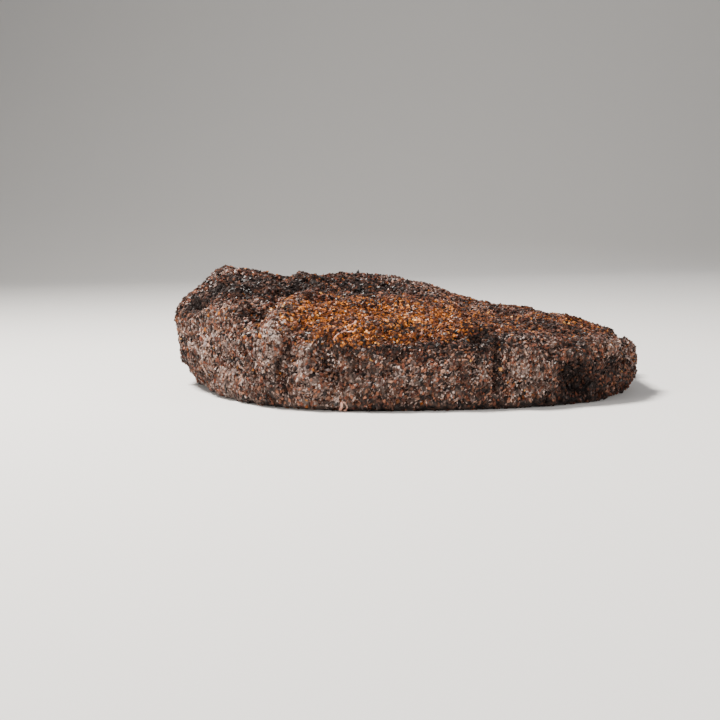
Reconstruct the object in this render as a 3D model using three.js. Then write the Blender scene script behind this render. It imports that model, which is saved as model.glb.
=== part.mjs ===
// A whole smoked beef brisket with a thick bark, lying on its flat underside as it comes off the fire.
//
// Units are millimetres and +Z is up. X runs from the thick point end (-X) to the thin flat end (+X),
// and the long face with the low edge looks along -Y. The body is one closed solid: a rounded loaf
// whose top follows a crest line, with the fold, humps, hollows and side creases worked into it.
// The origin is the middle of the flat that it rests on.

import * as THREE from "three";
import { mergeVertices } from "three/addons/utils/BufferGeometryUtils.js";

const { clamp, lerp, smoothstep } = THREE.MathUtils;

// Overall sizes, before the humps and creases are worked in: how far each end reaches from the
// middle of the grid of faces, and the depth from the long side to the rear side
const POINT_REACH = 166.5;
const FLAT_REACH = 157.5;
const HALF_DEPTH = 130;

// Roundness as superellipse exponents: 2 is an ellipse, larger is boxier
const PLAN_ROUNDNESS = { point: 2, flat: 2.6 };
const SHOULDER_ROUNDNESS = { front: 5, back: 3.6 };
const UNDERSIDE_ROUNDNESS = { point: 2.8, flat: 3.2, sides: 4.5 };

// How far the underside is pressed flat, as a share of the height of the widest line
const PRESSED_FLAT = 0.55;

// How far the middle of the loaf lies off the X axis, at stations along X
const MIDDLE_LINE = [
  [-165, 38],
  [-90, 9],
  [0, 0],
  [160, -8],
];

// Lines that run the length of the loaf, each as heights at stations along X: the widest line, and
// the top at its front edge, at its crest and at its back edge before the ends round them off
const WIDEST_LINE = [
  [-160, 42],
  [-90, 28],
  [-20, 20],
  [160, 20],
];
const FRONT_LINE = [
  [-160, 62],
  [-110, 61],
  [-40, 53],
  [60, 49],
  [160, 40],
];
const CREST_LINE = [
  [-165, 78],
  [-137, 90],
  [-113, 87],
  [-80, 80],
  [-38, 79],
  [0, 72],
  [40, 57],
  [75, 51],
  [115, 46],
  [165, 47],
];
const BACK_LINE = [
  [-160, 70],
  [-60, 66],
  [40, 58],
  [160, 36],
];
const FRONT_Y = -100;
const CREST_Y = 40;
const BACK_Y = 105;

// Ridges and furrows: each follows a path over the surface, with its rise (a furrow's is negative)
// at the middle of the path, and the distance from it at which that has mostly died away
const RIDGES = [
  {
    name: "saddle over the crest behind the fold",
    rise: -3,
    reach: 10,
    path: [
      [-96, 112, 48],
      [-90, 70, 72],
      [-80, 22, 77],
    ],
  },
  {
    name: "fold between the point and the flat",
    rise: -8,
    reach: 9,
    path: [
      [-77, -12, 72],
      [-84, -43, 66],
      [-94, -80, 58],
      [-102, -102, 46],
      [-105, -106, 26],
    ],
  },
  {
    name: "lip of the flat beside the fold",
    rise: 5.5,
    reach: 10,
    path: [
      [-64, 5, 76],
      [-70, -28, 68],
      [-78, -62, 60],
      [-86, -98, 53],
      [-90, -114, 38],
      [-91, -116, 18],
    ],
  },
  {
    name: "furrow in front of the lip",
    rise: -4,
    reach: 7,
    path: [
      [-70, -98, 54],
      [-74, -116, 44],
      [-73, -121, 30],
      [-75, -121, 14],
    ],
  },
  {
    name: "shoulder of the point",
    rise: 4,
    reach: 9,
    path: [
      [-136, -62, 56],
      [-118, -64, 61],
      [-98, -52, 64],
    ],
  },
  {
    name: "valley before the rear hump",
    rise: -4.5,
    reach: 9,
    path: [
      [-14, 34, 73],
      [-8, 10, 71],
      [3, -14, 66],
    ],
  },
  {
    name: "brow over the long side",
    rise: 2.5,
    reach: 9,
    path: [
      [-50, -112, 49],
      [-6, -118, 47],
      [48, -116, 45],
    ],
  },
  {
    name: "hem of the long side under the brow",
    rise: -2.5,
    reach: 8,
    path: [
      [-46, -126, 33],
      [0, -128, 31],
      [48, -127, 30],
    ],
  },
  {
    name: "cleft in the long side",
    rise: -4.5,
    reach: 6.5,
    path: [
      [52, -124, 40],
      [50, -128, 26],
      [54, -127, 12],
    ],
  },
  {
    name: "fold in the rear side",
    rise: -5,
    reach: 7,
    path: [
      [18, 104, 64],
      [24, 124, 40],
      [22, 124, 14],
    ],
  },
];

// Humps and hollows: each is a rounded patch with its rise at the middle and its size along X, Y, Z
const HUMPS = [
  { name: "cap of the point", rise: 2.5, at: [-127, 24, 86], size: [10, 14, 10] },
  { name: "hollow in the point", rise: -7, at: [-141, -44, 63], size: [10, 9, 9] },
  { name: "cheek of the point", rise: 2, at: [-118, -80, 42], size: [20, 16, 10] },
  { name: "rear hump", rise: 5, at: [22, 70, 64], size: [24, 32, 26] },
  { name: "dent beside the lip", rise: -4.5, at: [-84, -119, 22], size: [8, 12, 13] },
  { name: "dent in the long side", rise: -6, at: [-51, -126, 32], size: [10, 12, 13] },
  { name: "swell between the dents", rise: 3, at: [-66, -122, 26], size: [9, 12, 18] },
  { name: "dent near the flat end", rise: -5, at: [103, -114, 15], size: [11, 12, 9] },
  { name: "hollow of the plateau", rise: -2.5, at: [-34, -20, 68], size: [20, 16, 20] },
  { name: "swell of the flat", rise: 1.5, at: [96, 10, 48], size: [26, 40, 20] },
  { name: "hollow of the flat", rise: -2.5, at: [66, -30, 52], size: [14, 34, 20] },
  { name: "dent in the rear side", rise: -4, at: [-40, 126, 30], size: [14, 14, 14] },
  { name: "hollow behind the point", rise: -4, at: [-136, 72, 60], size: [16, 18, 18] },
  { name: "dent in the rear of the flat", rise: -3.5, at: [96, 108, 22], size: [16, 14, 12] },
];

// Slow unevenness of the whole surface
const WAVE_RISE = 1.3;
const WAVE_LENGTH = 31;

// Height above the rest plane at which humps and ridges reach their full rise
const FULL_RELIEF_HEIGHT = 12;

// Grid of faces over the loaf
const STEPS_LONG = 44;
const STEPS_DEEP = 32;
const STEPS_HIGH = 12;

// Value of a line at a position, smooth through its stations and level beyond its ends
function valueOf(line, position) {
  const last = line.length - 1;
  const place = clamp(position, line[0][0], line[last][0]);
  const next = Math.max(1, line.findIndex(([station]) => station >= place));
  const slopeAt = (i) => {
    if (i === 0 || i === last) return 0;
    return (line[i + 1][1] - line[i - 1][1]) / (line[i + 1][0] - line[i - 1][0]);
  };
  const [from, before] = line[next - 1];
  const [to, after] = line[next];
  const run = to - from;
  const t = (place - from) / run;
  const rest = 1 - t;
  return (
    before * rest * rest * (1 + 2 * t) +
    after * t * t * (3 - 2 * t) +
    run * t * rest * (slopeAt(next - 1) * rest - slopeAt(next) * t)
  );
}

// Height that the top reaches over a place in plan, before the shoulders are rounded off
function topHeight(x, y) {
  const across = [
    [FRONT_Y, valueOf(FRONT_LINE, x)],
    [CREST_Y, valueOf(CREST_LINE, x)],
    [BACK_Y, valueOf(BACK_LINE, x)],
  ];
  return valueOf(across, y);
}

// Moves a point of the two-unit cube onto the loaf
function ontoLoaf(point) {
  const [p, q, r] = [point.x, point.y, point.z];
  const towardFlat = (p + 1) / 2;
  const planRoundness = lerp(PLAN_ROUNDNESS.point, PLAN_ROUNDNESS.flat, towardFlat);
  const shoulder = lerp(SHOULDER_ROUNDNESS.front, SHOULDER_ROUNDNESS.back, (q + 1) / 2);
  const end = lerp(UNDERSIDE_ROUNDNESS.point, UNDERSIDE_ROUNDNESS.flat, towardFlat);
  const rounding = r > 0 ? shoulder : lerp(end, UNDERSIDE_ROUNDNESS.sides, q * q);
  const plan = Math.abs(p) ** planRoundness + Math.abs(q) ** planRoundness;
  const reach = (plan ** (rounding / planRoundness) + Math.abs(r) ** rounding) ** (-1 / rounding);
  const x = (p < 0 ? POINT_REACH : FLAT_REACH) * p * reach;
  const y = HALF_DEPTH * q * reach + valueOf(MIDDLE_LINE, x);
  const widest = valueOf(WIDEST_LINE, x);
  const rise = r * reach;
  const z =
    rise > 0 ? widest + rise * (topHeight(x, y) - widest) : widest * (1 + rise * (1 + PRESSED_FLAT));
  point.set(x, y, Math.max(z, 0));
}

// Bell curve: 1 at no distance, and down to about a third at one reach
function bell(distance, reach) {
  return Math.exp(-((distance / reach) ** 2));
}

// Distance from a point to a path of straight runs
function distanceTo(path, point) {
  const run = new THREE.Line3();
  const nearest = new THREE.Vector3();
  let least = Infinity;
  for (let i = 1; i < path.length; i += 1) {
    run.start.fromArray(path[i - 1]);
    run.end.fromArray(path[i]);
    run.closestPointToPoint(point, true, nearest);
    least = Math.min(least, nearest.distanceTo(point));
  }
  return least;
}

// Slow waves through the whole body, from three slanted sines
function waves(point) {
  const { x, y, z } = point;
  const first = Math.sin((x + 0.4 * y) / (0.5 * WAVE_LENGTH) + 1.3);
  const second = Math.sin((y - 0.5 * x + z) / (0.42 * WAVE_LENGTH) + 4.1);
  const third = Math.sin((0.8 * x - 0.6 * y - z) / (0.34 * WAVE_LENGTH) + 2.2);
  return WAVE_RISE * (first + 0.8 * second + 0.6 * third);
}

// How far the surface stands out at a place, from every ridge, hump and wave
function relief(point) {
  let rise = waves(point);
  for (const ridge of RIDGES) rise += ridge.rise * bell(distanceTo(ridge.path, point), ridge.reach);
  for (const hump of HUMPS) {
    const offset = point.clone().sub(new THREE.Vector3(...hump.at));
    offset.divide(new THREE.Vector3(...hump.size));
    rise += hump.rise * bell(offset.length(), 1);
  }
  return rise * smoothstep(point.z, 0, FULL_RELIEF_HEIGHT);
}

// Pushes every point of the loaf along its normal by the relief there, and keeps the underside flat
function workRelief(loaf) {
  const place = loaf.attributes.position;
  const facing = loaf.attributes.normal;
  const point = new THREE.Vector3();
  const normal = new THREE.Vector3();
  for (let i = 0; i < place.count; i += 1) {
    point.fromBufferAttribute(place, i);
    normal.fromBufferAttribute(facing, i);
    point.addScaledVector(normal, relief(point));
    place.setXYZ(i, point.x, point.y, Math.max(point.z, 0));
  }
}

// Puts the origin at the middle of the box round the body, on the rest plane
function standOnOrigin(loaf) {
  loaf.computeBoundingBox();
  const middle = loaf.boundingBox.getCenter(new THREE.Vector3());
  loaf.translate(-middle.x, -middle.y, -loaf.boundingBox.min.z);
}

function buildLoaf() {
  const box = new THREE.BoxGeometry(2, 2, 2, STEPS_LONG, STEPS_DEEP, STEPS_HIGH);
  box.deleteAttribute("normal");
  box.deleteAttribute("uv");
  const loaf = mergeVertices(box);
  const place = loaf.attributes.position;
  const point = new THREE.Vector3();
  for (let i = 0; i < place.count; i += 1) {
    point.fromBufferAttribute(place, i);
    ontoLoaf(point);
    place.setXYZ(i, point.x, point.y, point.z);
  }
  loaf.computeVertexNormals();
  workRelief(loaf);
  standOnOrigin(loaf);
  loaf.computeVertexNormals();
  return loaf;
}

const bark = new THREE.MeshStandardMaterial({ color: 0x2e1d16, roughness: 0.85, metalness: 0 });
const brisket = new THREE.Mesh(buildLoaf(), bark);
brisket.name = "brisket";

const part = new THREE.Group();
part.add(brisket);

export default part;
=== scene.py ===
"""A whole smoked brisket: its barked skin, the spice that lies loose on it and its scraps of fat.

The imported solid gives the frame. A finer skin replaces it, and everything else is laid on that skin.
Lengths are metres, +X runs to the thin flat end, -Y is the long front side and +Z is up.
"""

import logging
import math
from dataclasses import dataclass
from enum import Enum
from typing import Any, Sequence

import bmesh
import bpy
import numpy as np
from mathutils import Euler, Matrix, Vector
from mathutils.bvhtree import BVHTree


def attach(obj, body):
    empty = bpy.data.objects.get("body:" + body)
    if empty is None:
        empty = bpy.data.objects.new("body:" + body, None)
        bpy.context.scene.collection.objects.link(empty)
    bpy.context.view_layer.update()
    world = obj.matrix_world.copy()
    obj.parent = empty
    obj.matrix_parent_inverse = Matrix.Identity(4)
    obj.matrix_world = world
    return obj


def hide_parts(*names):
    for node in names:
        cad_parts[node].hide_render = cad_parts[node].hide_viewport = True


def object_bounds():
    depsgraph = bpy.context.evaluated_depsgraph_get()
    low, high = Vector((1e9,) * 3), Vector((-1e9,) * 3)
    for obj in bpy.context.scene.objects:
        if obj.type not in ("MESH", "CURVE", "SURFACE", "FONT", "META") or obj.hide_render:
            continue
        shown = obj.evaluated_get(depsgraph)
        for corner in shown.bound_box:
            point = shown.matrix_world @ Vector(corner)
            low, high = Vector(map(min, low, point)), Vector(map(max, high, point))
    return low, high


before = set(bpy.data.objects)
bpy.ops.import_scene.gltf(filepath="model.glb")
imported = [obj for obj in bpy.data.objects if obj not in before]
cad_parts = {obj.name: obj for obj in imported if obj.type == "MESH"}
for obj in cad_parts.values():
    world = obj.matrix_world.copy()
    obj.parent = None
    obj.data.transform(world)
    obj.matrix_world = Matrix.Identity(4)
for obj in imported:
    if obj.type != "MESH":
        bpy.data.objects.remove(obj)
CAD_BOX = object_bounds()

MM = 0.001
NODE = "brisket"
BODY = "root"
MAP_NAME = "OFBake"

Colour = tuple[float, float, float]
log = logging.getLogger("brisket")


# ---------------------------------------------------------------- shader expressions


class Value:
    """A shader socket that Python expressions can be written on."""

    def __init__(self, shader: "Shader", socket: bpy.types.NodeSocket) -> None:
        """Keeps the socket and the shader that it belongs to."""
        self.shader = shader
        self.socket = socket

    def _math(self, operation: str, first: Any, second: Any = 0.0, clamp: bool = False) -> "Value":
        """Adds one Math node and returns its result."""
        settings = {"operation": operation, "use_clamp": clamp}
        return self.shader.node("ShaderNodeMath", settings, {0: first, 1: second})

    def __add__(self, other: Any) -> "Value":
        """Sum of this value and another."""
        return self._math("ADD", self, other)

    __radd__ = __add__

    def __sub__(self, other: Any) -> "Value":
        """This value less another."""
        return self._math("SUBTRACT", self, other)

    def __rsub__(self, other: Any) -> "Value":
        """Another value less this one."""
        return self._math("SUBTRACT", other, self)

    def __mul__(self, other: Any) -> "Value":
        """Product of this value and another."""
        return self._math("MULTIPLY", self, other)

    __rmul__ = __mul__

    def clamped(self) -> "Value":
        """This value held between 0 and 1."""
        return self._math("ADD", self, 0.0, clamp=True)

    def above(self, low: float, high: float) -> "Value":
        """0 up to low, 1 from high on, and a smooth rise between them.

        Args:
            low: where the rise starts.
            high: where it ends.

        Returns:
            The mask.
        """
        settings = {"interpolation_type": "SMOOTHSTEP"}
        links = {"Value": self, "From Min": low, "From Max": high}
        return self.shader.node("ShaderNodeMapRange", settings, links)


class Shader:
    """One material's node tree, built by calls."""

    def __init__(self, name: str) -> None:
        """Makes an empty node material with an output."""
        self.material = bpy.data.materials.new(name)
        self.material.use_nodes = True
        self.tree = self.material.node_tree
        self.tree.nodes.clear()
        self.output = self.tree.nodes.new("ShaderNodeOutputMaterial")

    def node(
        self,
        kind: str,
        settings: dict[str, Any] | None = None,
        links: dict[str | int, Any] | None = None,
        output: str | int = 0,
    ) -> Value:
        """Adds a node.

        Args:
            kind: the node's type.
            settings: its properties, set first; "stops" fills a colour ramp with (place, colour).
            links: values, colours or other nodes' results for its inputs, by name or number.
            output: which of its outputs is wanted.

        Returns:
            That output.
        """
        made = self.tree.nodes.new(kind)
        for key, setting in (settings or {}).items():
            if key == "stops":
                self._fill_ramp(made.color_ramp, setting)
            else:
                setattr(made, key, setting)
        for key, given in (links or {}).items():
            if isinstance(given, Value):
                self.tree.links.new(given.socket, made.inputs[key])
            else:
                made.inputs[key].default_value = given
        return Value(self, made.outputs[output])

    @staticmethod
    def _fill_ramp(ramp: bpy.types.ColorRamp, stops: Sequence[tuple[float, Colour]]) -> None:
        """Gives a colour ramp its stops."""
        while len(ramp.elements) > 1:
            ramp.elements.remove(ramp.elements[-1])
        for place, (at, colour) in enumerate(stops):
            element = ramp.elements[0] if place == 0 else ramp.elements.new(at)
            element.position = at
            element.color = (*colour, 1.0)

    def mix(self, mask: Any, below: Any, above: Any) -> Value:
        """Mixes two colours.

        Args:
            mask: share of the second colour.
            below: the first colour, a tuple or a node's result.
            above: the second colour.

        Returns:
            The mixed colour.
        """
        links = {0: mask, 6: self._rgba(below), 7: self._rgba(above)}
        return self.node("ShaderNodeMix", {"data_type": "RGBA"}, links, output=2)

    @staticmethod
    def _rgba(colour: Any) -> Any:
        """A colour tuple with its alpha, or a node's result as it is."""
        return colour if isinstance(colour, Value) else (*colour, 1.0)

    def ramp(self, place: Value, stops: Sequence[tuple[float, Colour]]) -> Value:
        """A colour picked along stops by a value."""
        return self.node("ShaderNodeValToRGB", {"stops": stops}, {"Fac": place})

    def attribute(self, name: str) -> Value:
        """A number that the mesh carries at each point."""
        return self.node("ShaderNodeAttribute", {"attribute_name": name}, output="Fac")

    def place(self) -> Value:
        """The place in the object's own frame, in metres."""
        return self.node("ShaderNodeTexCoord", output="Object")

    def noise(self, size: float, detail: float = 3.0, roughness: float = 0.6) -> Value:
        """Cloudy noise from 0 to 1.

        Args:
            size: how large its blotches are, in metres.
            detail: how many finer layers it has.
            roughness: how strong the finer layers are.

        Returns:
            The noise.
        """
        links = {"Vector": self.place(), "Scale": 1.0 / size, "Detail": detail, "Roughness": roughness}
        return self.node("ShaderNodeTexNoise", {}, links)

    def cells(self, size: float, output: str = "Distance") -> Value:
        """Packed cells, as crumbs lie.

        Args:
            size: about how wide a cell is, in metres.
            output: the distance from a cell's middle, or the cell's own random colour.

        Returns:
            That output.
        """
        links = {"Vector": self.place(), "Scale": 1.0 / size}
        return self.node("ShaderNodeTexVoronoi", {}, links, output)

    def cell_numbers(self, size: float) -> Value:
        """A random number for each packed cell, from 0 to 1."""
        colour = self.cells(size, output="Color")
        return self.node("ShaderNodeSeparateColor", {}, {0: colour}, "Red")

    def bump(self, height: Value, depth: float) -> Value:
        """A normal from a height between 0 and 1, that tall in metres."""
        links = {"Height": height, "Distance": depth, "Strength": 1.0}
        return self.node("ShaderNodeBump", {}, links, "Normal")

    def surface(self, links: dict[str | int, Any]) -> bpy.types.Material:
        """Ends the tree in a principled surface.

        Args:
            links: values or results for its inputs.

        Returns:
            The finished material.
        """
        skin = self.node("ShaderNodeBsdfPrincipled", {}, links, "BSDF")
        self.tree.links.new(skin.socket, self.output.inputs["Surface"])
        return self.material


# ---------------------------------------------------------------- noise on points


class Lattice:
    """Seeded noise over space, worked out for many points at once."""

    TABLE_SIZE = 4096
    PRIMES = (73856093, 19349663, 83492791)
    LAYER_SHIFT = 17.3
    CRUMB_REACH = 0.55

    def __init__(self, seed: int) -> None:
        """Fills the table of random numbers that the lattice draws on."""
        rng = np.random.default_rng(seed)
        self.table = rng.random((self.TABLE_SIZE, 4))

    def _pick(self, cells: np.ndarray) -> np.ndarray:
        """Four random numbers for each whole-numbered cell."""
        first, second, third = (cells[..., k] * prime for k, prime in enumerate(self.PRIMES))
        return self.table[(first ^ second ^ third) & (self.TABLE_SIZE - 1)]

    def clouds(self, points: np.ndarray, size: float, layers: int = 1) -> np.ndarray:
        """Smooth noise from about -1 to 1.

        Args:
            points: places, one to a row.
            size: how large its blotches are.
            layers: how many layers, each half the size and strength of the one before.

        Returns:
            One number for each place.
        """
        total = np.zeros(len(points))
        weight = 0.0
        for layer in range(layers):
            share = 0.5**layer
            total += share * self._one_layer(points / (size * share) + self.LAYER_SHIFT * layer)
            weight += share
        return total / weight

    def _one_layer(self, scaled: np.ndarray) -> np.ndarray:
        """One layer of smooth noise, on places in lattice steps."""
        base = np.floor(scaled).astype(np.int64)
        part = scaled - base
        part = part * part * (3.0 - 2.0 * part)
        total = np.zeros(len(scaled))
        for corner in np.ndindex(2, 2, 2):
            weight = np.prod(np.where(corner, part, 1.0 - part), axis=1)
            total += weight * self._pick(base + np.array(corner))[:, 0]
        return 2.0 * total - 1.0

    def domes(self, points: np.ndarray, size: float) -> np.ndarray:
        """Packed rounded crumbs: 1 on top of a crumb, 0 in the gaps.

        Args:
            points: places, one to a row.
            size: about how wide a crumb is.

        Returns:
            One height for each place.
        """
        scaled = points / size
        base = np.floor(scaled).astype(np.int64)
        nearest = np.full(len(scaled), np.inf)
        for corner in np.ndindex(3, 3, 3):
            cell = base + np.array(corner) - 1
            middle = cell + self._pick(cell)[:, 1:4]
            nearest = np.minimum(nearest, ((scaled - middle) ** 2).sum(1))
        return np.clip(1.0 - nearest / self.CRUMB_REACH, 0.0, 1.0)


# ---------------------------------------------------------------- where things lie


@dataclass(frozen=True)
class Patch:
    """A soft patch of the surface.

    at is its middle as shares of the frame's box, reach its size in millimetres, and strength what it
    adds at its middle.
    """

    at: tuple[float, float, float]
    reach: tuple[float, float, float]
    strength: float


class Region(Enum):
    """The kinds of bark: glazed gold, dark char with some painted shade, painted black shade in the pits,
    pale dust with some painted sheen, and thickly laid spice.
    """

    GOLDEN = "golden"
    CHAR_AND_SHADE = "char_and_shade"
    PIT_SHADE = "pit_shade"
    DUST_AND_SHEEN = "dust_and_sheen"
    DENSE = "dense"


PATCHES: dict[Region, tuple[Patch, ...]] = {
    Region.GOLDEN: (
        Patch((0.50, 0.28, 0.64), (46, 34, 24), 0.8),
        Patch((0.56, 0.20, 0.61), (44, 28, 16), 0.65),
        Patch((0.42, 0.24, 0.65), (32, 32, 22), 0.8),
        Patch((0.33, 0.20, 0.64), (24, 22, 14), 0.9),
        Patch((0.39, 0.05, 0.565), (22, 18, 7), 1.0),
        Patch((0.48, 0.05, 0.545), (28, 18, 7), 1.1),
        Patch((0.58, 0.05, 0.555), (26, 18, 7), 0.65),
        Patch((0.76, 0.42, 0.54), (36, 30, 30), 0.45),
        Patch((0.88, 0.40, 0.48), (30, 36, 24), 0.22),
        Patch((0.32, 0.52, 0.87), (26, 18, 14), 0.6),
        Patch((0.62, 0.88, 0.62), (60, 34, 40), 0.5),
        Patch((0.24, 0.84, 0.70), (34, 30, 40), 0.3),
        Patch((0.86, 0.78, 0.45), (30, 36, 24), 0.3),
    ),
    # Dark char, with painted shade under the golden rim, by the fold pit and on the right end's wall
    Region.CHAR_AND_SHADE: (
        Patch((0.37, 0.55, 0.84), (42, 28, 30), 0.42),
        Patch((0.463, 0.53, 0.80), (24, 24, 20), 0.95),
        Patch((0.28, 0.47, 0.78), (14, 16, 16), 0.8),
        Patch((0.23, 0.23, 0.655), (14, 9, 5), 0.8),
        Patch((0.50, 0.01, 0.465), (56, 12, 4), 0.45),
        Patch((0.50, 0.11, 0.56), (13, 8, 5), 0.6),
        Patch((0.83, 0.07, 0.19), (13, 14, 11), 0.55),
        Patch((0.19, 0.42, 0.82), (22, 16, 8), 0.8),
        Patch((0.16, 0.48, 0.87), (34, 28, 12), 0.8),
        Patch((0.645, 0.03, 0.50), (9, 10, 7), 0.75),
        Patch((0.45, 0.10, 0.58), (9, 7, 4), 0.7),
        Patch((0.56, 0.12, 0.57), (7, 8, 4), 0.7),
        Patch((0.34, 0.05, 0.37), (8, 12, 10), 0.55),
        Patch((0.255, 0.08, 0.29), (9, 12, 12), 0.45),
        Patch((0.675, 0.02, 0.36), (3, 10, 14), 0.6),
        Patch((0.75, 0.52, 0.57), (14, 12, 10), 0.7),
        Patch((0.74, 0.06, 0.48), (18, 8, 6), 0.4),
        Patch((0.82, 0.30, 0.49), (26, 14, 16), 0.5),
        Patch((0.40, 0.92, 0.45), (40, 24, 20), 0.6),
    ),
    # Painted shade: black in the point end's hollow, the fold pit, furrows, a crevice and under the golden
    # rim
    Region.PIT_SHADE: (
        Patch((0.048, 0.445, 0.700), (6, 8, 5), 2.2),
        Patch((0.068, 0.405, 0.705), (7, 8, 4.5), 2.2),
        Patch((0.105, 0.43, 0.82), (9, 9, 4), 0.9),
        Patch((0.275, 0.47, 0.79), (9, 10, 9), 1.4),
        Patch((0.25, 0.20, 0.665), (8, 8, 4), 0.8),
        Patch((0.50, 0.10, 0.56), (12, 6, 3.5), 0.45),
        Patch((0.50, 0.01, 0.465), (56, 12, 2.6), 0.2),
        Patch((0.83, 0.07, 0.19), (10, 12, 9), 0.3),
        Patch((0.485, 0.54, 0.79), (6, 10, 6), 0.9),
    ),
    # Pale dust, with painted sheen on the lit ridge and on the peak of the point end
    Region.DUST_AND_SHEEN: (
        Patch((0.065, 0.385, 0.630), (11, 9, 4.5), 2.0),
        Patch((0.105, 0.355, 0.690), (11, 9, 5), 1.6),
        Patch((0.155, 0.310, 0.725), (13, 9, 5), 1.3),
        Patch((0.225, 0.290, 0.700), (12, 10, 6), 0.6),
        Patch((0.115, 0.60, 0.98), (18, 18, 7), 0.75),
        Patch((0.07, 0.42, 0.44), (34, 46, 18), 0.75),
        Patch((0.16, 0.24, 0.42), (40, 34, 20), 0.7),
        Patch((0.14, 0.24, 0.20), (46, 40, 24), 0.5),
        Patch((0.245, 0.14, 0.62), (8, 14, 16), 1.5),
        Patch((0.235, 0.10, 0.46), (9, 14, 14), 1.3),
        Patch((0.275, 0.24, 0.74), (8, 10, 8), 1.0),
        Patch((0.29, 0.06, 0.42), (18, 14, 12), 0.8),
        Patch((0.32, 0.05, 0.20), (22, 14, 22), 0.7),
        Patch((0.52, 0.01, 0.28), (60, 14, 20), 0.45),
        Patch((0.74, 0.02, 0.30), (40, 14, 20), 0.5),
        Patch((0.74, 0.07, 0.47), (24, 10, 8), 0.5),
        Patch((0.57, 0.66, 0.78), (34, 30, 20), 0.75),
        Patch((0.67, 0.52, 0.60), (26, 24, 14), 0.65),
        Patch((0.90, 0.12, 0.42), (26, 10, 9), 0.55),
        Patch((0.97, 0.30, 0.38), (12, 50, 14), 0.9),
        Patch((0.10, 0.80, 0.55), (30, 30, 30), 0.4),
        Patch((0.08, 0.50, 0.40), (60, 90, 40), 0.2),
    ),
    Region.DENSE: (
        Patch((0.50, 0.40, 0.70), (190, 130, 40), 0.8),
        Patch((0.14, 0.40, 0.60), (50, 60, 50), 0.4),
    ),
}


@dataclass(frozen=True)
class Fold:
    """A crease or a ridge of the meat.

    path is where it runs, as shares of the frame's box, reach how far it spreads to each side and rise
    how high it stands, or how deep it goes below 0, both in millimetres.
    """

    path: tuple[tuple[float, float, float], ...]
    reach: float
    rise: float

    def height(self, points: np.ndarray, low: np.ndarray, span: np.ndarray) -> np.ndarray:
        """How far the fold lifts each place, in metres.

        Args:
            points: places, one to a row.
            low: the lowest corner of the frame's box.
            span: the size of the frame's box.

        Returns:
            One height for each place.
        """
        route = low + span * np.array(self.path)
        nearest = np.full(len(points), np.inf)
        for start, end in zip(route[:-1], route[1:]):
            along = end - start
            share = np.clip((points - start) @ along / (along @ along), 0.0, 1.0)
            gap = ((points - start - share[:, None] * along) ** 2).sum(1)
            nearest = np.minimum(nearest, gap)
        return self.rise * MM * np.exp(-nearest / (self.reach * MM) ** 2)


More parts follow.
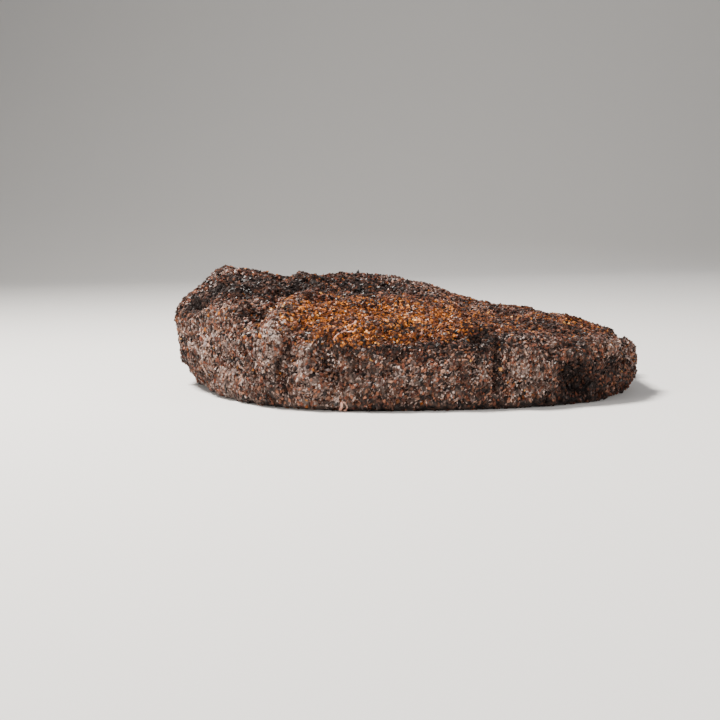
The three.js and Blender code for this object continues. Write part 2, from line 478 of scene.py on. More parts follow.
FOLDS: tuple[Fold, ...] = (
    # The crest sits lower than the solid's, because the crust stands on it
    Fold(((0.06, 0.58, 0.90), (0.14, 0.58, 0.97), (0.22, 0.58, 0.93)), 20.0, -2.6),
    Fold(((0.150, 0.56, 0.95), (0.180, 0.55, 0.93), (0.215, 0.53, 0.91)), 14.0, -3.0),
    Fold(((0.14, 0.67, 0.98), (0.185, 0.67, 0.955)), 15.0, -4.5),
    Fold(((0.02, 0.70, 0.74), (0.045, 0.69, 0.83)), 9.0, -3.5),
    Fold(((0.36, 0.62, 0.88), (0.44, 0.64, 0.86), (0.55, 0.66, 0.80)), 22.0, -3.2),
    Fold(((0.62, 0.62, 0.66), (0.72, 0.60, 0.60)), 12.0, -1.2),
    Fold(((0.76, 0.69, 0.60), (0.82, 0.64, 0.565)), 13.0, -3.8),
    Fold(((0.89, 0.38, 0.50), (0.95, 0.20, 0.40)), 15.0, -3.0),
    Fold(((0.94, 0.56, 0.48), (0.985, 0.50, 0.41), (0.99, 0.35, 0.35)), 13.0, -5.0),
    # The point end: a hollow painted black as shade, a ridge under it painted pale as dust and sheen,
    # furrows
    Fold(((0.046, 0.450, 0.700), (0.060, 0.415, 0.695), (0.080, 0.395, 0.705)), 5.0, -9.0),
    Fold(((0.089, 0.427, 0.794), (0.108, 0.431, 0.829), (0.124, 0.446, 0.852)), 4.0, -3.5),
    Fold(
        ((0.052, 0.40, 0.60), (0.083, 0.37, 0.655), (0.108, 0.35, 0.68), (0.152, 0.31, 0.715)),
        5.0,
        3.5,
    ),
    Fold(
        ((0.200, 0.250, 0.645), (0.230, 0.255, 0.645), (0.251, 0.196, 0.668), (0.27, 0.196, 0.702)),
        4.5,
        -3.6,
    ),
    Fold(((0.117, 0.419, 0.817), (0.183, 0.373, 0.794), (0.233, 0.40, 0.771)), 3.5, -2.4),
    Fold(((0.152, 0.342, 0.748), (0.198, 0.281, 0.737), (0.254, 0.396, 0.714)), 3.5, -2.0),
    Fold(((0.11, 0.62, 0.93), (0.19, 0.52, 0.90), (0.25, 0.60, 0.90)), 4.0, -2.2),
    Fold(((0.035, 0.52, 0.62), (0.045, 0.51, 0.70)), 5.0, 2.0),
    # The fold between the point and the plateau, and the lip beside it
    Fold(
        ((0.236, 0.423, 0.794), (0.257, 0.439, 0.748), (0.276, 0.473, 0.794), (0.292, 0.377, 0.794)),
        4.5,
        -5.0,
    ),
    Fold(((0.262, 0.477, 0.817), (0.252, 0.504, 0.875), (0.246, 0.60, 0.91)), 4.5, -4.0),
    Fold(
        ((0.229, 0.166, 0.564), (0.248, 0.166, 0.656), (0.273, 0.254, 0.737), (0.304, 0.316, 0.783)),
        5.5,
        3.2,
    ),
    Fold(((0.239, 0.112, 0.576), (0.239, 0.097, 0.472), (0.233, 0.116, 0.357)), 6.0, 3.5),
    Fold(((0.272, 0.53, 0.886), (0.285, 0.60, 0.88), (0.28, 0.68, 0.86)), 6.5, 3.4),
    # The plateau
    Fold(((0.329, 0.496, 0.863), (0.36, 0.538, 0.852)), 4.0, -3.0),
    Fold(((0.407, 0.554, 0.84), (0.435, 0.554, 0.829)), 4.0, -3.0),
    Fold(((0.400, 0.485, 0.79), (0.414, 0.485, 0.78)), 4.0, -3.2),
    Fold(((0.45, 0.369, 0.702), (0.463, 0.385, 0.714)), 4.5, -3.5),
    Fold(((0.33, 0.30, 0.72), (0.37, 0.36, 0.75)), 4.0, -2.0),
    Fold(((0.470, 0.62, 0.83), (0.485, 0.54, 0.790), (0.505, 0.47, 0.74)), 5.5, -5.5),
    Fold(((0.57, 0.68, 0.75), (0.62, 0.72, 0.70)), 9.0, 2.0),
    # The golden rim and the edge under it
    Fold(((0.50, 0.112, 0.553), (0.516, 0.17, 0.587)), 4.0, -4.0),
    Fold(((0.56, 0.10, 0.55), (0.575, 0.17, 0.58)), 3.5, -2.2),
    Fold(((0.637, 0.024, 0.518), (0.652, 0.027, 0.518)), 5.0, -4.0),
    Fold(
        ((0.453, 0.050, 0.515), (0.494, 0.050, 0.505), (0.55, 0.050, 0.495), (0.60, 0.03, 0.49)),
        4.0,
        -3.0,
    ),
    Fold(((0.36, 0.12, 0.60), (0.45, 0.12, 0.585), (0.55, 0.10, 0.56), (0.63, 0.07, 0.545)), 6.0, 2.6),
    # The flat
    Fold(((0.73, 0.531, 0.576), (0.761, 0.519, 0.564)), 4.5, -3.0),
    Fold(((0.721, 0.058, 0.506), (0.764, 0.05, 0.46)), 4.0, -2.6),
    Fold(((0.80, 0.25, 0.49), (0.86, 0.18, 0.46)), 4.0, -2.2),
    Fold(((0.66, 0.30, 0.57), (0.70, 0.22, 0.55)), 4.5, -2.0),
    Fold(((0.86, 0.10, 0.42), (0.92, 0.13, 0.41), (0.97, 0.26, 0.40)), 5.0, 2.2),
    Fold(((0.904, 0.104, 0.288), (0.957, 0.173, 0.265)), 4.5, -3.5),
    Fold(((0.823, 0.07, 0.219), (0.836, 0.081, 0.138)), 8.0, -6.0),
    # The long front side
    Fold(((0.677, 0.024, 0.449), (0.674, 0.016, 0.345), (0.67, 0.016, 0.22)), 3.0, -4.0),
    Fold(((0.248, 0.093, 0.345), (0.261, 0.085, 0.253)), 5.5, -5.0),
    Fold(((0.338, 0.043, 0.414), (0.344, 0.047, 0.334), (0.362, 0.043, 0.29)), 5.0, -5.0),
    Fold(((0.276, 0.077, 0.437), (0.285, 0.066, 0.311)), 3.5, -3.5),
    Fold(((0.32, 0.043, 0.288), (0.32, 0.047, 0.138)), 6.0, 2.5),
    Fold(((0.45, 0.02, 0.42), (0.46, 0.01, 0.20)), 9.0, 2.0),
    Fold(((0.56, 0.01, 0.40), (0.55, 0.01, 0.16)), 6.0, -2.2),
    Fold(((0.74, 0.03, 0.38), (0.75, 0.03, 0.16)), 8.0, 2.2),
    Fold(((0.12, 0.28, 0.42), (0.17, 0.20, 0.22)), 6.0, -2.5),
    Fold(((0.07, 0.38, 0.44), (0.10, 0.32, 0.24)), 6.0, 2.0),
    # The rear side
    Fold(((0.30, 0.985, 0.55), (0.34, 0.99, 0.30)), 5.0, -4.0),
    Fold(((0.55, 0.99, 0.50), (0.66, 0.99, 0.35), (0.74, 0.98, 0.30)), 5.0, -4.0),
    Fold(((0.42, 0.93, 0.68), (0.52, 0.94, 0.62), (0.62, 0.93, 0.55)), 6.0, 2.4),
    Fold(((0.14, 0.84, 0.62), (0.20, 0.90, 0.40)), 6.0, -4.0),
    Fold(((0.82, 0.93, 0.32), (0.88, 0.88, 0.22)), 6.0, -4.0),
    Fold(((0.46, 0.985, 0.42), (0.47, 0.99, 0.16)), 7.0, 2.4),
)


def uprightness(normals: np.ndarray) -> np.ndarray:
    """How far each place belongs to the sides of the meat, from 0 on top to 1 on a side."""
    return np.clip(1.4 - 2.0 * normals[:, 2], 0.0, 1.0)


class Surface:
    """Says what the bark is like at a place: its kinds, its folds and the way that it is combed."""

    CHAR_AND_SHADE_HIDES = 0.35
    PIT_SHADE_HIDES = 0.9
    HIDES_AT_MOST = 1.2
    RAG_SIZE = 12 * MM
    RAG_STRENGTH = 0.8
    SWIRL_SIZE = 24 * MM

    def __init__(self, lattice: Lattice) -> None:
        """Takes the frame's box and the noise that ragged edges come from."""
        self.low = np.array(CAD_BOX[0])
        self.span = np.array(CAD_BOX[1]) - self.low
        self.lattice = lattice

    def strength(self, region: Region, points: np.ndarray) -> np.ndarray:
        """How strongly a kind of bark shows.

        Args:
            region: the kind of bark.
            points: places, one to a row.

        Returns:
            A number from 0 to 1 for each place, with a ragged edge.
        """
        total = self._sum(region, points)
        # Char with its painted shade, and the painted pit shade, hide gold and dust
        if region in (Region.GOLDEN, Region.DUST_AND_SHEEN):
            dark = self.CHAR_AND_SHADE_HIDES * self._sum(Region.CHAR_AND_SHADE, points)
            dark += self.PIT_SHADE_HIDES * self._sum(Region.PIT_SHADE, points)
            total = np.maximum(total - np.minimum(dark, self.HIDES_AT_MOST), 0.0)
        ragged = self.RAG_STRENGTH * self.lattice.clouds(points, self.RAG_SIZE, 3)
        return np.clip(total * (1.0 + ragged) + 0.25 * ragged * (total > 0.05), 0.0, 1.0)

    def along(self, points: np.ndarray) -> np.ndarray:
        """How far along the meat each place is, from 0 at the point end to 1 at the flat end."""
        return (points[:, 0] - self.low[0]) / self.span[0]

    def _sum(self, region: Region, points: np.ndarray) -> np.ndarray:
        """The patches of one kind of bark, added up at each place."""
        total = np.zeros(len(points))
        for patch in PATCHES[region]:
            middle = self.low + self.span * np.array(patch.at)
            offset = (points - middle) / (np.array(patch.reach) * MM)
            total += patch.strength * np.exp(-(offset**2).sum(1))
        return total

    def folded(self, points: np.ndarray) -> np.ndarray:
        """How far the folds lift each place, in metres."""
        total = np.zeros(len(points))
        for fold in FOLDS:
            total += fold.height(points, self.low, self.span)
        return total

    def grain_ways(self, points: np.ndarray, normals: np.ndarray) -> np.ndarray:
        """The way that the bark is combed: along the meat on top, and up and down on its sides.

        Args:
            points: places, one to a row.
            normals: the way that the surface faces at each.

        Returns:
            One direction for each place, not of unit length.
        """
        side = uprightness(normals)[:, None]
        at_point = np.clip(2.0 - 7.0 * self.along(points), 0.0, 1.0)[:, None]
        along = np.array([1.0, 0.15, 0.0]) + at_point * np.array([0.0, 0.5, 0.1])
        lie = along * (1.0 - side) + np.array([0.25, 0.0, 1.0]) * side
        swirls = [self.lattice.clouds(points + shift, self.SWIRL_SIZE, 2) for shift in (0.1, 0.7, 1.3)]
        return lie + 0.5 * np.stack(swirls, 1)


# ---------------------------------------------------------------- finishes


@dataclass(frozen=True)
class BarkFinish:
    """The crust itself: packed crumbs in browns, glazed gold, charred or dusted pale, painted black as
    shade in the pits, the dust also standing for painted sheen.

    A crumb's tone picks its colour between char and gold: each crumb has its own, blotches and gold
    raise it, char and its painted shade lower it, and the painted shade of the pits takes it all away.
    Low places of the relief are darkened towards char as painted shade.
    """

    char_and_shade: Colour = (0.007, 0.005, 0.005)
    dark: Colour = (0.020, 0.012, 0.010)
    brown: Colour = (0.055, 0.026, 0.018)
    russet: Colour = (0.115, 0.042, 0.022)
    gold: Colour = (0.300, 0.110, 0.034)
    pale: Colour = (0.250, 0.180, 0.150)
    crumb: float = 2.5 * MM
    crumb_tone: float = 0.7
    blotch_tone: float = 0.3
    golden_tone: float = 0.24
    char_and_shade_tone: float = 0.25
    tone_floor: float = 0.26
    shine: float = 0.12

    def material(self) -> bpy.types.Material:
        """The crust's material, which reads golden, char and shade, pit shade, dust and sheen and relief
        from the mesh.
        """
        shader = Shader("bark_crust")
        golden = shader.attribute(Region.GOLDEN.value)
        char_and_shade = shader.attribute(Region.CHAR_AND_SHADE.value)
        pit_shade = shader.attribute(Region.PIT_SHADE.value)
        dust_and_sheen = shader.attribute(Region.DUST_AND_SHEEN.value)
        relief = shader.attribute("relief")
        blotch = shader.noise(9 * MM)
        fine = shader.noise(1.1 * MM, 4.0)
        cell = shader.cell_numbers(self.crumb)
        raised = cell * self.crumb_tone + blotch * self.blotch_tone + golden * self.golden_tone
        # Char with its painted shade lowers the tone, and painted pit shade takes it away
        tone = raised - char_and_shade * self.char_and_shade_tone - pit_shade - self.tone_floor
        crumbs = shader.ramp(
            tone,
            [
                (0.12, self.char_and_shade),
                (0.34, self.dark),
                (0.52, self.brown),
                (0.72, self.russet),
                (0.92, self.gold),
            ],
        )
        # Pale dust on raised places, which also stands for painted sheen on lit ridges
        dust_and_sheen_share = (dust_and_sheen * (0.45 + fine) * relief.above(0.25, 0.7)).clamped() * 0.75
        with_dust_and_sheen = shader.mix(dust_and_sheen_share, crumbs, self.pale)
        # Painted shade: the low places of the relief are darkened towards char
        painted_pit_shade = 1.0 - relief.above(0.1, 0.6)
        shaded = shader.mix(painted_pit_shade * 0.8, with_dust_and_sheen, self.char_and_shade)
        dome = 1.0 - shader.cells(self.crumb)
        height = dome * 0.75 + fine * 0.35
        gloss = 0.36 - golden * 0.08 + blotch * 0.12
        return shader.surface(
            {
                "Base Color": shaded,
                "Roughness": gloss.clamped(),
                "Normal": shader.bump(height, 1.0 * MM),
                "Specular IOR Level": self.shine,
            }
        )


@dataclass(frozen=True)
class GrainFinish:
    """A kind of loose grain: its colour runs along stops by each grain's own tint; soot and painted shade
    dull it.
    """

    name: str
    stops: tuple[tuple[float, Colour], ...]
    roughness: float
    shine: float = 0.3
    soot_and_shade: Colour = (0.018, 0.013, 0.012)
    soot_and_shade_cover: float = 0.85

    def material(self) -> bpy.types.Material:
        """The grain's material, which reads tint, and soot with painted shade, from the mesh."""
        shader = Shader(self.name)
        tint = shader.attribute("tint")
        soot_and_shade = shader.attribute("soot_and_shade")
        clean = shader.ramp(tint, self.stops)
        colour = shader.mix(soot_and_shade * self.soot_and_shade_cover, clean, self.soot_and_shade)
        gloss = self.roughness + 0.25 * soot_and_shade
        return shader.surface(
            {"Base Color": colour, "Roughness": gloss.clamped(), "Specular IOR Level": self.shine}
        )


@dataclass(frozen=True)
class FatFinish:
    """Rendered fat and sinew: pink and cream, moist, browned in spots."""

    cream: Colour = (0.60, 0.37, 0.28)
    pink: Colour = (0.40, 0.15, 0.10)
    browned: Colour = (0.15, 0.05, 0.03)

    def material(self) -> bpy.types.Material:
        """The fat's material."""
        shader = Shader("moist_fat")
        streaks = shader.noise(2.5 * MM, 4.0)
        spots = shader.noise(6 * MM, 2.0)
        flesh = shader.mix(streaks.above(0.38, 0.62), self.pink, self.cream)
        colour = shader.mix(spots.above(0.5, 0.72) * 0.8, flesh, self.browned)
        return shader.surface(
            {
                "Base Color": colour,
                "Roughness": 0.28 + streaks * 0.25,
                "Normal": shader.bump(streaks, 0.5 * MM),
                "Coat Weight": 0.15,
            }
        )


@dataclass(frozen=True)
class FloorFinish:
    """Plain pale studio paper."""

    paper: Colour = (0.80, 0.79, 0.77)
    mottle_size: float = 0.4
    mottle_shade: float = 0.97

    def material(self) -> bpy.types.Material:
        """The floor's material, with the faintest mottle."""
        shader = Shader("studio_paper")
        mottle = shader.noise(self.mottle_size, 2.0)
        darker = tuple(self.mottle_shade * part for part in self.paper)
        return shader.surface({"Base Color": shader.mix(mottle, self.paper, darker), "Roughness": 0.9})


# ---------------------------------------------------------------- mesh helpers


def link(mesh: bpy.types.Mesh, material: bpy.types.Material) -> bpy.types.Object:
    """Puts a mesh in the scene as an object of the same name, in one material."""
    mesh.materials.append(material)
    piece = bpy.data.objects.new(mesh.name, mesh)
    bpy.context.scene.collection.objects.link(piece)
    return piece


def write_numbers(mesh: bpy.types.Mesh, name: str, numbers: np.ndarray) -> None:
    """Stores a number at each point of a mesh for its material to read."""
    attribute = mesh.attributes.new(name, "FLOAT", "POINT")
    attribute.data.foreach_set("value", numbers.astype(np.float32))


def mesh_points(mesh: bpy.types.Mesh) -> np.ndarray:
    """A mesh's points, one to a row."""
    points = np.empty(len(mesh.vertices) * 3, np.float32)
    mesh.vertices.foreach_get("co", points)
    return points.reshape(-1, 3).astype(float)


def point_normals(mesh: bpy.types.Mesh) -> np.ndarray:
    """The way that the surface faces at each point of a mesh, one to a row."""
    normals = np.empty(len(mesh.vertices) * 3, np.float32)
    mesh.vertex_normals.foreach_get("vector", normals)
    return normals.reshape(-1, 3).astype(float)


# ---------------------------------------------------------------- the skin


@dataclass
class Skin:
    """The barked surface of the meat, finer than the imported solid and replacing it."""

    surface: Surface
    lattice: Lattice
    levels: int = 2
    lump_size: float = 17 * MM
    lump_rise: float = 1.8 * MM
    crag_size: float = 9 * MM
    crag_rise: float = 1.7 * MM
    wrinkle_size: float = 3.6 * MM
    wrinkle_length: float = 4.0
    wrinkle_rise: float = 1.2 * MM
    clump_size: float = 6.0 * MM
    clump_rise: float = 1.3 * MM
    crumb_size: float = 3.2 * MM
    crumb_rise: float = 0.8 * MM
    calm_height: float = 5.0 * MM
    relief_from_body: float = 0.16 / MM
    relief_from_crumbs: float = 0.3

    def build(self) -> bpy.types.Object:
        """Makes the skin.

        Returns:
            The skin, dressed in its crust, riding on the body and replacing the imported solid.
        """
        mesh = self._smooth_copy()
        self._map(mesh)
        self._roughen(mesh)
        mesh.shade_smooth()
        skin = link(mesh, BarkFinish().material())
        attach(skin, BODY)
        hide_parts(NODE)
        return skin

    def _smooth_copy(self) -> bpy.types.Mesh:
        """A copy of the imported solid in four-sided faces, subdivided."""
        source = bmesh.new()
        source.from_mesh(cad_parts[NODE].data)
        bmesh.ops.remove_doubles(source, verts=source.verts, dist=1e-6)
        bmesh.ops.join_triangles(
            source, faces=source.faces, angle_face_threshold=math.pi, angle_shape_threshold=math.pi
        )
        coarse = bpy.data.meshes.new("bark_skin")
        source.to_mesh(coarse)
        source.free()
        carrier = bpy.data.objects.new("carrier", coarse)
        bpy.context.scene.collection.objects.link(carrier)
        rounding = carrier.modifiers.new("rounding", "SUBSURF")
        rounding.levels = self.levels
        seen = carrier.evaluated_get(bpy.context.evaluated_depsgraph_get())
        fine = bpy.data.meshes.new_from_object(seen)
        bpy.data.objects.remove(carrier)
        bpy.data.meshes.remove(coarse)
        fine.name = "bark_skin"
        return fine

    def _roughen(self, mesh: bpy.types.Mesh) -> None:
        """Raises folds, crags, wrinkles and crumbs along the normals, and stores what the finish reads."""
        points = mesh_points(mesh)
        normals = point_normals(mesh)
        folds = self.surface.folded(points)
        lumps = self.lattice.clouds(points, self.lump_size, 2)
        crags = 1.0 - 3.0 * np.abs(self.lattice.clouds(points + 0.2, self.crag_size, 3))
        wrinkles = self._wrinkles(points, normals)
        clumps = self.lattice.domes(points, self.clump_size)
        crumbs = self.lattice.domes(points + 0.31, self.crumb_size)
        body = folds + self.lump_rise * lumps + self.crag_rise * (crags - 0.2)
        body += self.wrinkle_rise * wrinkles
        rise = body + self.clump_rise * (clumps - 0.55) + self.crumb_rise * (crumbs - 0.5)
        calm = np.clip(points[:, 2] / self.calm_height, 0.1, 1.0)
        moved = points + normals * (rise * calm)[:, None]
        moved[:, 2] = np.maximum(moved[:, 2], 0.0)
        mesh.vertices.foreach_set("co", moved.astype(np.float32).ravel())
        mesh.update()
        grainy = self.relief_from_crumbs * (clumps - 0.55 + crumbs - 0.5)
        relief = 0.5 + self.relief_from_body * body + grainy
        write_numbers(mesh, "relief", np.clip(relief, 0.0, 1.0))
        # Stores gold, char with painted shade, painted pit shade and dust with painted sheen for the finish
        for region in (Region.GOLDEN, Region.CHAR_AND_SHADE, Region.PIT_SHADE, Region.DUST_AND_SHEEN):
            write_numbers(mesh, region.value, self.surface.strength(region, moved))

    def _wrinkles(self, points: np.ndarray, normals: np.ndarray) -> np.ndarray:
        """Fine wrinkles that run along the meat on top, and up and down on its sides.

        Args:
            points: places, one to a row.
            normals: the way that the surface faces at each.

        Returns:
            One height from about -1 to 1 for each place.
        """
        long = np.array([1.0 / self.wrinkle_length, 1.0, 1.0])
        tall = np.array([1.0, 1.0, 1.0 / self.wrinkle_length])
        slanted = points - points[:, :1] * np.array([0.0, 0.35, 0.15])
        along = self.lattice.clouds(slanted * long, self.wrinkle_size, 1)
        upright = self.lattice.clouds(points * tall, self.wrinkle_size, 1)
        side = uprightness(normals)
        return along * (1.0 - side) + upright * side

    def _map(self, mesh: bpy.types.Mesh) -> None:
        """Lays the skin out flat as six sides of a box round it, each inside its own rectangle."""
        low, high = (np.array(corner) for corner in CAD_BOX)
        middle = (low + high) / 2.0
        cube = (mesh_points(mesh) - middle) / ((high - low) / 2.0)
        loop_point = np.empty(len(mesh.loops), np.int32)
        mesh.loops.foreach_get("vertex_index", loop_point)
        face_size = np.empty(len(mesh.polygons), np.int32)
        mesh.polygons.foreach_get("loop_total", face_size)
        loop_face = np.repeat(np.arange(len(face_size)), face_size)
        centres = np.zeros((len(face_size), 3))
        np.add.at(centres, loop_face, cube[loop_point])
        centres /= face_size[:, None]
        axis = np.abs(centres).argmax(1)
        side = 2 * axis + (centres[np.arange(len(axis)), axis] > 0)
        corners = cube[loop_point]
        loop_side = side[loop_face]
        deep = np.abs(corners[np.arange(len(corners)), loop_side // 2])
        flat = corners / np.maximum(deep, 1e-6)[:, None]
        uv = np.zeros((len(corners), 2))
        half = 0.47
        for number, (across, up, left, right, bottom, top) in enumerate(self._rectangles()):
            here = loop_side == number
            uv[here, 0] = left + (right - left) * (0.5 + half * flat[here, across])
            uv[here, 1] = bottom + (top - bottom) * (0.5 + half * flat[here, up])
        layer = mesh.uv_layers.new(name=MAP_NAME)
        layer.data.foreach_set("uv", np.clip(uv, 0.0, 1.0).astype(np.float32).ravel())

    @staticmethod
    def _rectangles() -> tuple[tuple[int, int, float, float, float, float], ...]:
        """For -X, +X, -Y, +Y, -Z and +Z: the axes across and up, and the rectangle's edges."""
        return (
            (1, 2, 0.00, 0.25, 0.00, 0.16),
            (1, 2, 0.25, 0.50, 0.00, 0.16),
            (0, 2, 0.00, 1.00, 0.34, 0.52),
            (0, 2, 0.00, 0.50, 0.16, 0.34),
            (0, 1, 0.50, 1.00, 0.00, 0.34),
            (0, 1, 0.00, 1.00, 0.52, 1.00),
        )


# ---------------------------------------------------------------- the loose spice


@dataclass(frozen=True)
class GrainKind:
    """One kind of grain: how many there are, their shape, where they gather and how they look.

    length is in millimetres, width a share of it and flatness a share of the width, each from the least
    to the most. corners says how far a grain's corners stray. everywhere is how thickly the kind lies
    on plain bark, and gathers what each kind of bark adds. sooty is how much soot the kind takes away
    from the gold, and buried how deep the grains sit in the crust.
    """

    name: str
    slot: str
    count: int
    length: tuple[float, float]
    width: tuple[float, float]
    flatness: tuple[float, float]
    corners: float
    everywhere: float
    gathers: tuple[tuple[Region, float], ...]
    finish: GrainFinish
    sooty: float
    buried: float = 0.3


GRAINS: tuple[GrainKind, ...] = (
    GrainKind(
        name="pepper_crumbs",
        slot="pepper",
        count=22000,
        length=(2.6, 5.4),
        width=(0.42, 0.75),
        flatness=(0.6, 1.0),
        corners=0.25,
        everywhere=0.30,
        # Pepper lies thicker in char and in the painted pit shade, darkening both
        gathers=((Region.CHAR_AND_SHADE, 1.0), (Region.PIT_SHADE, 1.0), (Region.DENSE, 0.25), (Region.DUST_AND_SHEEN, -0.14)),
        finish=GrainFinish(
            "charred_pepper",
            (
                (0.0, (0.004, 0.003, 0.003)),
                (0.55, (0.014, 0.009, 0.008)),
                (0.8, (0.045, 0.026, 0.021)),
                (0.93, (0.120, 0.080, 0.070)),
                # The lightest stop is a painted highlight: pepper grains that take it stand for glints
                (1.0, (0.280, 0.220, 0.210)),
            ),
            0.34,
            shine=0.14,
        ),
        sooty=0.1,
    ),
    GrainKind(
        name="bark_crumbs",
        slot="bark",
        count=22000,
        length=(2.4, 4.8),
        width=(0.42, 0.75),
        flatness=(0.5, 1.0),
        corners=0.25,
        everywhere=0.5,
        gathers=((Region.CHAR_AND_SHADE, 0.1), (Region.DENSE, 0.1), (Region.GOLDEN, -0.34), (Region.DUST_AND_SHEEN, -0.25)),
        finish=GrainFinish(
            "brown_bark",
            (
                (0.0, (0.012, 0.007, 0.006)),
                (0.4, (0.042, 0.019, 0.012)),
                (0.75, (0.115, 0.047, 0.027)),
                (0.93, (0.250, 0.122, 0.078)),
                # The lightest stop is a pale crumb that also stands for a painted highlight
                (1.0, (0.470, 0.300, 0.225)),
            ),
            0.36,
            shine=0.15,
        ),
        sooty=0.3,
    ),
    GrainKind(
        name="golden_grains",
        slot="golden_spice",
        count=22000,
        length=(2.2, 4.0),
        width=(0.6, 0.95),
        flatness=(0.6, 1.0),
        corners=0.15,
        everywhere=0.012,
        gathers=((Region.GOLDEN, 1.0), (Region.DENSE, 0.05), (Region.CHAR_AND_SHADE, -0.3), (Region.DUST_AND_SHEEN, -0.03)),
        finish=GrainFinish(
            "toasted_gold",
            (
                (0.0, (0.010, 0.004, 0.003)),
                (0.35, (0.050, 0.014, 0.005)),
                (0.62, (0.185, 0.050, 0.009)),
                (0.84, (0.520, 0.170, 0.026)),
                (1.0, (0.980, 0.520, 0.160)),
            ),
            0.3,
            shine=0.13,
        ),
        sooty=0.9,
    ),
    GrainKind(
        name="russet_flakes",
        slot="red_spice",
        count=20000,
        length=(2.4, 4.8),
        width=(0.45, 0.8),
        flatness=(0.5, 0.9),
        corners=0.22,
        everywhere=0.26,
        gathers=((Region.GOLDEN, 0.2), (Region.DENSE, 0.3), (Region.CHAR_AND_SHADE, -0.5), (Region.DUST_AND_SHEEN, -0.1)),
        finish=GrainFinish(
            "russet_crumb",
            (
                (0.0, (0.018, 0.007, 0.005)),
                (0.4, (0.065, 0.019, 0.011)),
                (0.7, (0.165, 0.048, 0.024)),
                (0.9, (0.320, 0.130, 0.072)),
                # The lightest stop is a pale crumb that also stands for a painted highlight
                (1.0, (0.580, 0.340, 0.240)),
            ),
            0.34,
            shine=0.2,
        ),
        sooty=0.3,
    ),
    GrainKind(
        name="pale_grains",
        slot="pale_grain",
        count=18000,
        length=(1.8, 3.4),
        width=(0.4, 0.75),
        flatness=(0.5, 1.0),
        corners=0.18,
        everywhere=0.03,
        # Pale grains gather in the dust and on its painted sheen
        gathers=((Region.DUST_AND_SHEEN, 1.0), (Region.CHAR_AND_SHADE, -0.3), (Region.GOLDEN, -0.08), (Region.DENSE, 0.02)),
        finish=GrainFinish(
            "pale_salt",
            (
                (0.0, (0.060, 0.036, 0.030)),
                (0.4, (0.165, 0.102, 0.082)),
                (0.75, (0.360, 0.248, 0.208)),
                (1.0, (0.700, 0.550, 0.490)),
            ),
            0.42,
        ),
        sooty=0.5,
    ),
)


